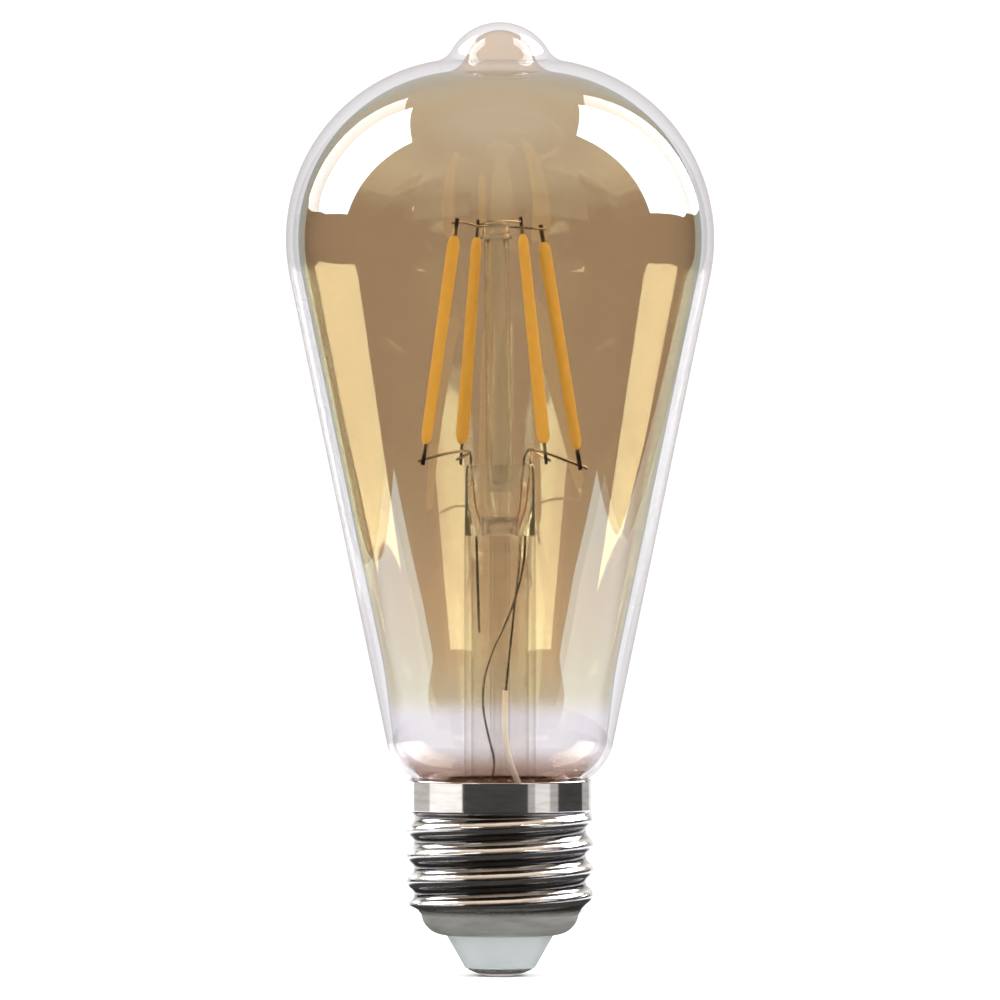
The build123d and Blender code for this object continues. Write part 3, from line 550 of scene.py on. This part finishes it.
def make_stem():
    """Flared tube that is pressed flat and solid at the top."""
    _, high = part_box("stem_flare")
    top = high.z / MM
    outer = []
    for i, (z, *oval) in enumerate(STEM_SECTIONS):
        start = PRESS_START if i < len(STEM_SECTIONS) - 2 else top
        outer.append((start + z, *oval))
    inner = [(PRESS_START + z, *rest) for z, *rest in HOLLOW_SECTIONS]
    rim = NECK_RADIUS - GLASS_WALL
    centre = (STEM_RADIUS + FLARE_RADIUS, FLARE_TOP)
    reach = centre[0] - rim
    upper = (rim, FLARE_TOP - math.sqrt(FLARE_RADIUS**2 - reach**2))
    lower = (rim, FLARE_TOP - math.sqrt((FLARE_RADIUS + STEM_WALL) ** 2 - reach**2))
    bore = STEM_RADIUS - STEM_WALL
    flare_in = arc(centre, FLARE_RADIUS + STEM_WALL, lower, (bore, FLARE_TOP), 16)
    flare_out = arc(centre, FLARE_RADIUS, (STEM_RADIUS, FLARE_TOP), upper, 16)
    rings = []
    for r, z in flare_in + line((bore, FLARE_TOP), (bore, PRESS_START), 12)[1:]:
        rings.append(oval_ring(z, r, r, ROUND_POWER))
    for row in smooth_between(inner, 24)[1:]:
        rings.append(oval_ring(*row))
    end = inner[-1]
    for share in HOLLOW_SHARES:
        rise = HOLLOW_CROWN * (1 - share)
        rings.append(oval_ring(end[0] + rise, end[1] * share, end[2] * share, end[3]))
    crown = outer[-1]
    for share in CROWN_SHARES:
        rings.append(oval_ring(top, crown[1] * share, crown[2] * share, crown[3]))
    for row in reversed(smooth_between(outer, 40)[1:]):
        rings.append(oval_ring(*row))
    for r, z in line((STEM_RADIUS, PRESS_START), (STEM_RADIUS, FLARE_TOP), 12) + flare_out[1:]:
        rings.append(oval_ring(z, r, r, ROUND_POWER))
    corners, faces = closed_tube(rings)
    stem = mesh_piece("stem", corners, faces, [THIN, CLEAR], "stem_flare")
    for polygon in stem.data.polygons:
        polygon.material_index = 1 if polygon.center.z > (PRESS_START + PRESS_SOLID) * MM else 0


EXHAUST_RADIUS, EXHAUST_BORE, EXHAUST_SOFT = 1.4, 0.9, 0.06


def make_exhaust_tube():
    """Tube down the middle of the stem, sealed off in a round nose."""
    low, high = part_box("exhaust_tube")
    nose = (0.0, low.z / MM + EXHAUST_RADIUS)
    top = high.z / MM
    profile = joined(
        arc(nose, EXHAUST_RADIUS, (0.0, nose[1] - 1), (1, nose[1]), 12),
        line((EXHAUST_RADIUS, nose[1]), (EXHAUST_RADIUS, top), 12),
        line((EXHAUST_RADIUS - EXHAUST_SOFT, top), (EXHAUST_BORE + EXHAUST_SOFT, top)),
        line((EXHAUST_BORE, top), (EXHAUST_BORE, nose[1]), 12),
        arc(nose, EXHAUST_BORE, (1, nose[1]), (0.0, nose[1] - 1), 12),
    )
    corners, faces, _ = turned(profile, 64)
    mesh_piece("exhaust", corners, faces, [THIN], "exhaust_tube")


PILLAR_FOOT, PILLAR_TOP, PRESS_TOP = 68.6, 104.3, 72.4
PILLAR_RADIUS, PILLAR_TOP_RADIUS, PILLAR_BORE = 1.9, 1.75, 1.2
PILLAR_LEAN = math.radians(-0.85)
PILLAR_SOFT = 0.05                      # softened edges
PILLAR_TAPER = 6.0                      # the pillar tapers from this height above the press
# Round end of the bore: shares of its radius, and heights above the pillar's foot.
BORE_END = [(1.0, 1.9), (0.85, 1.35), (0.5, 1.1), (0.0, 1.0)]
BUTTON_RADIUS, BUTTON_TOP_RADIUS, BUTTON_TOP = 2.1, 1.6, 106.8
# Bead round the button's foot: out from BUTTON_RADIUS and up from the foot.
BUTTON_BEAD = [(-0.1, 0.0), (0.1, 0.08), (0.17, 0.25), (0.1, 0.42), (-0.08, 0.58), (-0.16, 0.9)]
BUTTON_SIDE = [(0.24, 0.6), (0.14, 0.3)]    # out from BUTTON_TOP_RADIUS and down from BUTTON_TOP
BUTTON_ROUND, BUTTON_INSET = 0.38, 0.25     # rounding of the top, and its centre's way in


def leaned(corner):
    """Turns a point of the pillar, drawn upright, about the pillar's foot."""
    foot = PILLAR_FOOT * MM
    c, s = math.cos(PILLAR_LEAN), math.sin(PILLAR_LEAN)
    x, z = corner.x, corner.z - foot
    return Vector((x * c + z * s, corner.y, foot - x * s + z * c))


def make_pillar():
    """Hollow glass rod, closed at its foot, that carries the filaments' upper wires."""
    soft = PILLAR_SOFT
    taper = PRESS_TOP + PILLAR_TAPER
    bore_end = [(PILLAR_BORE * share, PILLAR_FOOT + up) for share, up in BORE_END]
    profile = joined(
        [(0, PILLAR_FOOT), (PILLAR_RADIUS - soft, PILLAR_FOOT)],
        line((PILLAR_RADIUS, PILLAR_FOOT + soft), (PILLAR_RADIUS, taper), 10),
        line((PILLAR_RADIUS, taper), (PILLAR_TOP_RADIUS, PILLAR_TOP - soft), 16),
        line((PILLAR_TOP_RADIUS - soft, PILLAR_TOP), (PILLAR_BORE + soft, PILLAR_TOP)),
        line((PILLAR_BORE, PILLAR_TOP - soft), bore_end[0], 24),
        bore_end[1:],
    )
    corners, faces, _ = turned(profile, 96, leaned)
    mesh_piece("pillar", corners, faces, [CLEAR], "glass_pillar")


def make_button():
    """Glass button that closes the pillar, with a bead round its foot and a rounded top."""
    top, head = BUTTON_TOP, BUTTON_TOP_RADIUS
    shoulder = (head - BUTTON_INSET, top - BUTTON_ROUND)
    profile = joined(
        [(0, PILLAR_TOP)],
        [(BUTTON_RADIUS + out, PILLAR_TOP + up) for out, up in BUTTON_BEAD],
        [(head + out, top - down) for out, down in BUTTON_SIDE],
        arc(shoulder, BUTTON_ROUND, (head + 1, shoulder[1]), (shoulder[0], top), 6),
        [(0, top)],
    )
    corners, faces, _ = turned(profile, 72, leaned)
    mesh_piece("button", corners, faces, [CLEAR], "pillar_button")


# ---- cap ----
THREAD_PITCH, CREST_RADIUS, ROOT_RADIUS, CREST_Z = 3.629, 13.17, 12.15, 11.5
SHELL_SHEET, COLLAR_RADIUS, COLLAR_BOTTOM, BAND_BOTTOM = 0.3, 12.93, 23.7, 9.1
LIP_RADIUS, LIP_INNER, LIP_TOP_RADIUS, LIP_SIDE_DROP = 3.35, 7.75, 11.3, 0.35
LIP_FLAT = 0.1                          # flat rim before the lip curves
LIP_STEP = (0.08, 0.12)                 # the lip's last step out and up to the threaded band
BAND_START_STEP = 0.15                  # the threaded band starts this far outside the lip
BAND_RISE = 1.3                         # and the thread grows to its full depth over this height
COLLAR_LEAD, COLLAR_RISE = 1.0, 0.9     # the collar sets in this far below, over this height
COLLAR_SOFT = 0.08                      # softened edge of the collar
CAP_ROUND, CAP_ROWS = 360, 150


def thread_radius(turn, z):
    """Outer radius of the rolled thread at an angle and height, faded out at both ends."""
    half = THREAD_PITCH / 2
    depth = CREST_RADIUS - ROOT_RADIUS
    curve = (half**2 / 4 + depth**2 / 4) / depth
    u = (z - CREST_Z - THREAD_PITCH * turn / (2 * math.pi) + half) % THREAD_PITCH - half
    if abs(u) <= half / 2:
        wave = CREST_RADIUS - (curve - math.sqrt(curve**2 - u**2))
    else:
        wave = ROOT_RADIUS + (curve - math.sqrt(curve**2 - (half - abs(u)) ** 2))
    low = ease((z - BAND_BOTTOM) / BAND_RISE)
    high = ease((z - COLLAR_BOTTOM + COLLAR_LEAD) / COLLAR_RISE)
    start = LIP_TOP_RADIUS + BAND_START_STEP
    return (start * (1 - low) + wave * low) * (1 - high) + COLLAR_RADIUS * high


def make_cap_shell():
    """Rolled shell as one closed sheet: rounded lip, threaded band and plain collar."""
    low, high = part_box("cap_shell")
    bottom, top = low.z / MM, high.z / MM
    centre = (LIP_INNER + LIP_FLAT, bottom + LIP_RADIUS)
    side = (centre[0] + LIP_RADIUS, centre[1] - LIP_SIDE_DROP)
    lip_end = (LIP_TOP_RADIUS + LIP_STEP[0], side[1] + LIP_STEP[1])
    lip_out = [(LIP_INNER, bottom)]
    lip_out += arc(centre, LIP_RADIUS, (centre[0], bottom), side, 20)
    lip_out.append(lip_end)
    lip_in = [(LIP_INNER, bottom + SHELL_SHEET)]
    lip_in += arc(centre, LIP_RADIUS - SHELL_SHEET, (centre[0], bottom), side, 20)
    lip_in.append((lip_end[0] - SHELL_SHEET, lip_end[1]))
    rise = top - COLLAR_SOFT - BAND_BOTTOM
    heights = [BAND_BOTTOM + rise * i / CAP_ROWS for i in range(CAP_ROWS + 1)]
    outer_edge = (COLLAR_RADIUS - COLLAR_SOFT, top)
    inner_edge = (COLLAR_RADIUS - SHELL_SHEET + COLLAR_SOFT, top)
    corners = []
    for i in range(CAP_ROUND):
        turn = 2 * math.pi * i / CAP_ROUND
        c, s = math.cos(turn), math.sin(turn)
        wall = [(thread_radius(turn, z), z) for z in heights]
        back = [(r - SHELL_SHEET, z) for r, z in reversed(wall)]
        loop = lip_out + wall + [outer_edge, inner_edge] + back + lip_in[::-1]
        corners += [Vector((r * c, r * s, z)) * MM for r, z in loop]
    count = len(corners) // CAP_ROUND
    faces = []
    for i in range(CAP_ROUND):
        k = (i + 1) % CAP_ROUND
        for j in range(count):
            n = (j + 1) % count
            faces.append((i * count + j, k * count + j, k * count + n, i * count + n))
    mesh_piece("screw_shell", corners, faces, [nickel_plate()], "cap_shell")


# ---- pieces that keep their CAD mesh ----
def shades(colour, spread):
    """A darker and a lighter tone of a colour."""
    dark = tuple(c * (1 - spread) for c in colour)
    light = tuple(min(1.0, c * (1 + spread)) for c in colour)
    return dark, light


def make_materials():
    """Materials of the CAD nodes that are shown, by the record's slot name. A row holds the colour,
    its spread, spots per metre, roughness, how metallic it is and how strong its bumps are."""
    rows = {
        "phosphor": ((0.99, 0.69, 0.16), 0.04, 900.0, 0.55, 0.0, 0.5),
        "substrate": ((0.82, 0.82, 0.78), 0.05, 700.0, 0.5, 0.0, 0.1),
        "led_chips": ((0.42, 0.47, 0.62), 0.12, 900.0, 0.25, 0.2, 0.1),
        "nickel_wire": ((0.62, 0.58, 0.52), 0.15, 900.0, 0.25, 1.0, 0.2),
        "dumet_wire": ((0.62, 0.25, 0.12), 0.2, 800.0, 0.35, 1.0, 0.2),
        "sleeve": ((0.82, 0.80, 0.72), 0.08, 500.0, 0.6, 0.0, 0.2),
        "contact_metal": ((0.72, 0.70, 0.66), 0.2, 1300.0, 0.4, 0.85, 0.6),
        "cement": ((0.52, 0.40, 0.33), 0.2, 600.0, 0.85, 0.0, 0.8),
        "circuit_board": ((0.03, 0.20, 0.08), 0.2, 500.0, 0.4, 0.0, 0.2),
        "capacitor": ((0.03, 0.03, 0.04), 0.3, 400.0, 0.35, 0.0, 0.1),
        "ferrite": ((0.05, 0.05, 0.055), 0.2, 900.0, 0.7, 0.0, 0.4),
        "copper": ((0.78, 0.36, 0.16), 0.15, 900.0, 0.3, 1.0, 0.3),
        "resistor": ((0.10, 0.28, 0.12), 0.15, 600.0, 0.4, 0.0, 0.2),
        "chip_package": ((0.03, 0.03, 0.032), 0.25, 1200.0, 0.55, 0.0, 0.4),
        "radio_board": ((0.02, 0.06, 0.16), 0.2, 500.0, 0.4, 0.0, 0.2),
        "shield_can": ((0.74, 0.74, 0.73), 0.08, 700.0, 0.3, 1.0, 0.2),
        "gold_pins": ((0.90, 0.66, 0.24), 0.1, 800.0, 0.25, 1.0, 0.1),
        "live_insulation": ((0.55, 0.04, 0.03), 0.12, 500.0, 0.45, 0.0, 0.1),
        "neutral_insulation": ((0.03, 0.06, 0.40), 0.12, 500.0, 0.45, 0.0, 0.1),
        "cap_insulator": ((0.40, 0.43, 0.43), 0.03, 350.0, 0.5, 0.0, 0.1),
    }
    made = {}
    for slot, (colour, spread, scale, roughness, metallic, bump) in rows.items():
        dark, light = shades(colour, spread)
        made[slot] = mottled(slot.replace("_", " "), dark, light, scale, roughness, metallic, bump)
    made["plated_steel"] = tab_steel()
    return made


def dress_nodes():
    """Gives every CAD node that is still shown the material of its slot in the record."""
    made = make_materials()
    for name, row in node_slots().items():
        node = frame["nodes"][name]
        if node.hide_render:
            continue
        node.data.materials.clear()
        node.data.materials.append(made[row])


def node_slots():
    """The record's slot name of each CAD node."""
    return {row["node"]: row["material_slot"] for row in frame["record"]["subparts"]}


# ---- studio ----
MIDDLE = Vector((0, 0, 0.1))            # the middle of the glass, which the studio surrounds


def direction(azimuth, elevation):
    """Unit direction: azimuth from the camera's side round to the right, in degrees."""
    a, e = math.radians(azimuth), math.radians(elevation)
    return Vector((math.sin(a) * math.cos(e), -math.cos(a) * math.cos(e), math.sin(e)))


def even_light(strength, tint=(1, 1, 1)):
    """Material of a card that is equally bright all over."""
    g = Graph("card")
    return g.surface(g.add("Emission", {"Color": (*tint, 1.0), "Strength": strength}))


def sky_light():
    """Material of the studio round the lamp: dark below, and warm, then white, towards the ceiling."""
    g = Graph("studio sky")
    level = g.share(g.height(), *SKY_RANGE)
    return g.surface(g.add("Emission", {"Color": g.ramp(level, SKY_TONES), "Strength": 1.0}))


def board_light():
    """Material of the board: a painted shadow darkens it round the lamp's foot, and it is dimmer towards
    the back.
    """
    g = Graph("white board")
    away = g.add("VectorMath", {0: g.place()}, output="Value", operation="LENGTH")
    # painted shadow of the lamp round its foot
    tone = g.ramp(g.span(away, *BOARD_SHADE), BOARD_SHADOW_TONES)
    depth = g.add("SeparateXYZ", {0: g.place()}, output="Y")
    colour = mix_colour(g, g.span(depth, *BOARD_FADE), tone, (*BOARD_FAR, 1.0))
    return g.surface(g.add("Emission", {"Color": colour, "Strength": BOARD_STRENGTH}))


def stage_mesh(name, corners, faces, light):
    """A light or dark card round the lamp, which only reflections show."""
    mesh = bpy.data.meshes.new(name)
    mesh.from_pydata([tuple(c) for c in corners], [], faces)
    mesh.materials.append(light)
    card = bpy.data.objects.new(name, mesh)
    bpy.context.scene.collection.objects.link(card)
    card.visible_camera = False
    card.visible_diffuse = False
    card.visible_shadow = False
    card.visible_transmission = False


def patch(name, azimuths, elevations, distance, light):
    """Part of a sphere about the lamp, between two azimuths and two elevations."""
    columns, rows = 24, 16
    corners, faces = [], []
    for j in range(rows + 1):
        e = elevations[0] + (elevations[1] - elevations[0]) * j / rows
        for i in range(columns + 1):
            a = azimuths[0] + (azimuths[1] - azimuths[0]) * i / columns
            corners.append(MIDDLE + direction(a, e) * distance)
    for j in range(rows):
        for i in range(columns):
            first = j * (columns + 1) + i
            faces.append((first, first + 1, first + columns + 2, first + columns + 1))
    stage_mesh(name, corners, faces, light)


def low_card(name, azimuths, heights, distance, light):
    """Upright curved card near the cap."""
    count = 16
    corners, faces = [], []
    for i in range(count + 1):
        a = azimuths[0] + (azimuths[1] - azimuths[0]) * i / count
        foot = direction(a, 0) * distance
        corners.append(foot + Vector((0, 0, heights[0])))
        corners.append(foot + Vector((0, 0, heights[1])))
    for i in range(count):
        faces.append((2 * i, 2 * i + 2, 2 * i + 3, 2 * i + 1))
    stage_mesh(name, corners, faces, light)


# Corners of the two softboxes, each flat and upright at one side of the lamp.
SOFTBOXES = {
    "softbox_left": [
        (-0.8, 0.120, 0.262),
        (-0.8, 0.460, 0.243),
        (-0.8, 0.640, 0.256),
        (-0.8, 0.700, 0.305),
        (-0.8, 1.030, 1.680),
        (-0.8, -0.017, 1.196),
    ],
    "softbox_right": [
        (0.8, 0.094, 0.270),
        (0.8, 0.707, 0.220),
        (0.8, 0.930, 0.250),
        (0.8, 1.119, 1.899),
        (0.8, -0.011, 1.452),
    ],
}
BOX_STRENGTH = 11.0
# Outline of a lit white board. The lamp stands near its front edge, and the glass reflects it.
BOARD = [
    (-0.234, -0.030),
    (-0.150, -0.052),
    (0.0, -0.058),
    (0.150, -0.072),
    (0.214, -0.060),
    (0.240, 0.076),
    (0.325, 0.240),
    (0.900, 1.500),
    (-0.450, 1.500),
    (-0.255, 0.320),
    (-0.233, 0.080),
]
BOARD_STRENGTH = 1.95
BOARD_SHADOW_TONES = [(0.0, (0.03, 0.028, 0.026)), (1.0, (0.85, 0.85, 0.94))]
BOARD_HEIGHT = 0.0004
BOARD_SHADE = (0.050, 0.125)            # painted shadow of the lamp: the board brightens between these distances
BOARD_FADE = (0.09, 0.24)               # and fades between these depths behind the lamp
BOARD_FAR = (0.41, 0.385, 0.37)
SKY_DISTANCE = 3.5                      # of the studio's walls from the lamp
SKY_RANGE = (1.1, 3.6)                  # heights between which the sky brightens
SKY_TONES = [
    (0.0, (0.012, 0.012, 0.012)),
    (0.10, (0.20, 0.15, 0.10)),
    (0.45, (0.75, 0.58, 0.42)),
    (0.80, (0.95, 0.76, 0.60)),
    (0.97, (1.30, 1.08, 0.92)),
]
BACK_STRENGTH = 0.82
BACK_TINT = (1.0, 0.95, 0.91)
# Two lamp heads near the camera, which the back of the bulb shows as upright bands.
LAMP_HEADS = {
    "head_right": [(0.42, 0.385), (1.00, 0.497), (1.00, 0.563), (0.42, 0.460)],
    "head_left": [(-0.42, 0.385), (-1.04, 0.505), (-1.04, 0.584), (-0.42, 0.452)],
}
HEAD_Y = -0.8
HEAD_STRENGTH = 7.0
# Small dim flags in front of the dome, which keep the lamp heads out of it. A row holds two places
# across and two heights, and its flag stands at both sides.
FLAGS = [(0.007, 0.026, 0.1100, 0.1165), (0.028, 0.063, 0.1225, 0.1320)]
FLAG_Y = -0.036
FLAG_LIGHT = (0.3, (1.0, 0.8, 0.6))     # strength and colour
CAP_CARD_HEIGHTS = (0.0195, 0.0285)
CAP_CARD_DISTANCE = 0.04
CAP_CARD_TINT = (1.0, 0.96, 0.93)
# Cards round the collar, which it reflects: the azimuth where each starts, in degrees, and its
# strength. The last row only ends the one before it.
CAP_CARDS = [
    (-180, 1.5),
    (-123, 0.62),
    (-86, 1.30),
    (-41, 0.07),
    (30, 0.50),
    (38, 0.95),
    (56, 0.50),
    (67, 0.06),
    (111, 0.50),
    (135, 1.0),
    (180, 0.0),
]


def make_cards():
    """Everything that only reflections show."""
    for name, corners in SOFTBOXES.items():
        spots = [Vector(c) for c in corners]
        stage_mesh(name, spots, [tuple(range(len(spots)))], even_light(BOX_STRENGTH))
    for name, corners in LAMP_HEADS.items():
        spots = [Vector((x, HEAD_Y, z)) for x, z in corners]
        stage_mesh(name, spots, [(0, 1, 2, 3)], even_light(HEAD_STRENGTH))
    for i, (x0, x1, z0, z1) in enumerate(FLAGS):
        for side in (-1, 1):
            outline = ((x0, z0), (x1, z0), (x1, z1), (x0, z1))
            spots = [Vector((side * x, FLAG_Y, z)) for x, z in outline]
            stage_mesh(f"flag_{i}_{side}", spots, [(0, 1, 2, 3)], even_light(*FLAG_LIGHT))
    sky = sky_light()
    patch("sky_front", (-150, 150), (-89, 60), SKY_DISTANCE, sky)
    patch("sky_top", (-180, 180), (60, 90), SKY_DISTANCE, sky)
    patch("back", (150, 210), (-89, 60), SKY_DISTANCE, even_light(BACK_STRENGTH, BACK_TINT))
    board = [Vector((x, y, BOARD_HEIGHT)) for x, y in BOARD]
    stage_mesh("board", board, [tuple(range(len(board)))], board_light())
    for (start, strength), (end, _) in zip(CAP_CARDS, CAP_CARDS[1:]):
        name = "cap_card_" + str(start)
        light = even_light(strength, CAP_CARD_TINT)
        low_card(name, (start, end), CAP_CARD_HEIGHTS, CAP_CARD_DISTANCE, light)


def soft_light(name, place, size, power):
    """Area light aimed at the lamp. Reflections show the cards and not the lights."""
    data = bpy.data.lights.new(name, "AREA")
    data.shape = "SQUARE"
    data.size = size
    data.energy = power
    light = bpy.data.objects.new(name, data)
    light.location = place
    light.rotation_euler = (MIDDLE - place).to_track_quat("-Z", "Y").to_euler()
    light.visible_glossy = False
    bpy.context.scene.collection.objects.link(light)


WORLD_STRENGTH = 1.08
LIGHT_POWER, LIGHT_SIZE = 2.6, 0.3
LIGHT_PLACES = {
    "light_left": Vector((-0.45, -0.25, 0.38)),
    "light_right": Vector((0.45, -0.25, 0.38)),
}
FLOOR_HALF = 0.6                        # the cap hides its far edge from the camera
FLOOR_TONES = [(0.3, (0.985, 0.985, 0.985)), (0.7, (1.0, 1.0, 1.0))]


def make_studio():
    """White world, two soft lights and a pale floor, which reflections don't show."""
    world = bpy.data.worlds.new("studio")
    world.use_nodes = True
    back = world.node_tree.nodes["Background"]
    back.inputs["Color"].default_value = (1.0, 1.0, 1.0, 1.0)
    back.inputs["Strength"].default_value = WORLD_STRENGTH
    bpy.context.scene.world = world
    for name, place in LIGHT_PLACES.items():
        soft_light(name, place, LIGHT_SIZE, LIGHT_POWER)
    mesh = bpy.data.meshes.new("floor")
    corners = [(x * FLOOR_HALF, y * FLOOR_HALF, 0) for x, y in ((-1, -1), (1, -1), (1, 1), (-1, 1))]
    mesh.from_pydata(corners, [], [(0, 1, 2, 3)])
    g = Graph("pale floor")
    tone = g.ramp(g.noise(3.0, 2.0), FLOOR_TONES)
    mesh.materials.append(g.surface(g.add("BsdfDiffuse", {"Color": tone})))
    floor = bpy.data.objects.new("floor", mesh)
    floor.visible_glossy = False
    floor.visible_transmission = False
    bpy.context.scene.collection.objects.link(floor)


CAMERA_LENS, CAMERA_SENSOR, CAMERA_REACH = 468.0, 36.0, 50.0
CAMERA_PLACE, CAMERA_AIM = Vector((0, -1.84, 0.1018)), Vector((0, 0, 0.0674))


def make_camera():
    """Camera straight in front, a little above the middle and looking slightly down."""
    data = bpy.data.cameras.new("camera")
    data.lens = CAMERA_LENS
    data.sensor_width = CAMERA_SENSOR
    data.clip_end = CAMERA_REACH
    camera = bpy.data.objects.new("camera", data)
    camera.location = CAMERA_PLACE
    camera.rotation_euler = (CAMERA_AIM - CAMERA_PLACE).to_track_quat("-Z", "Y").to_euler()
    bpy.context.scene.collection.objects.link(camera)
    bpy.context.scene.camera = camera


CLEAR = solid_glass()
THIN = thin_glass()
make_bulb()
make_stem()
make_exhaust_tube()
make_pillar()
make_button()
make_cap_shell()
dress_nodes()
make_cards()
make_studio()
make_camera()
bpy.context.scene.view_settings.view_transform = "Standard"
# A straight look through the bulb, the stem and the exhaust tube passes more than 8 clear faces.
bpy.context.scene.cycles.transparent_max_bounces = 32
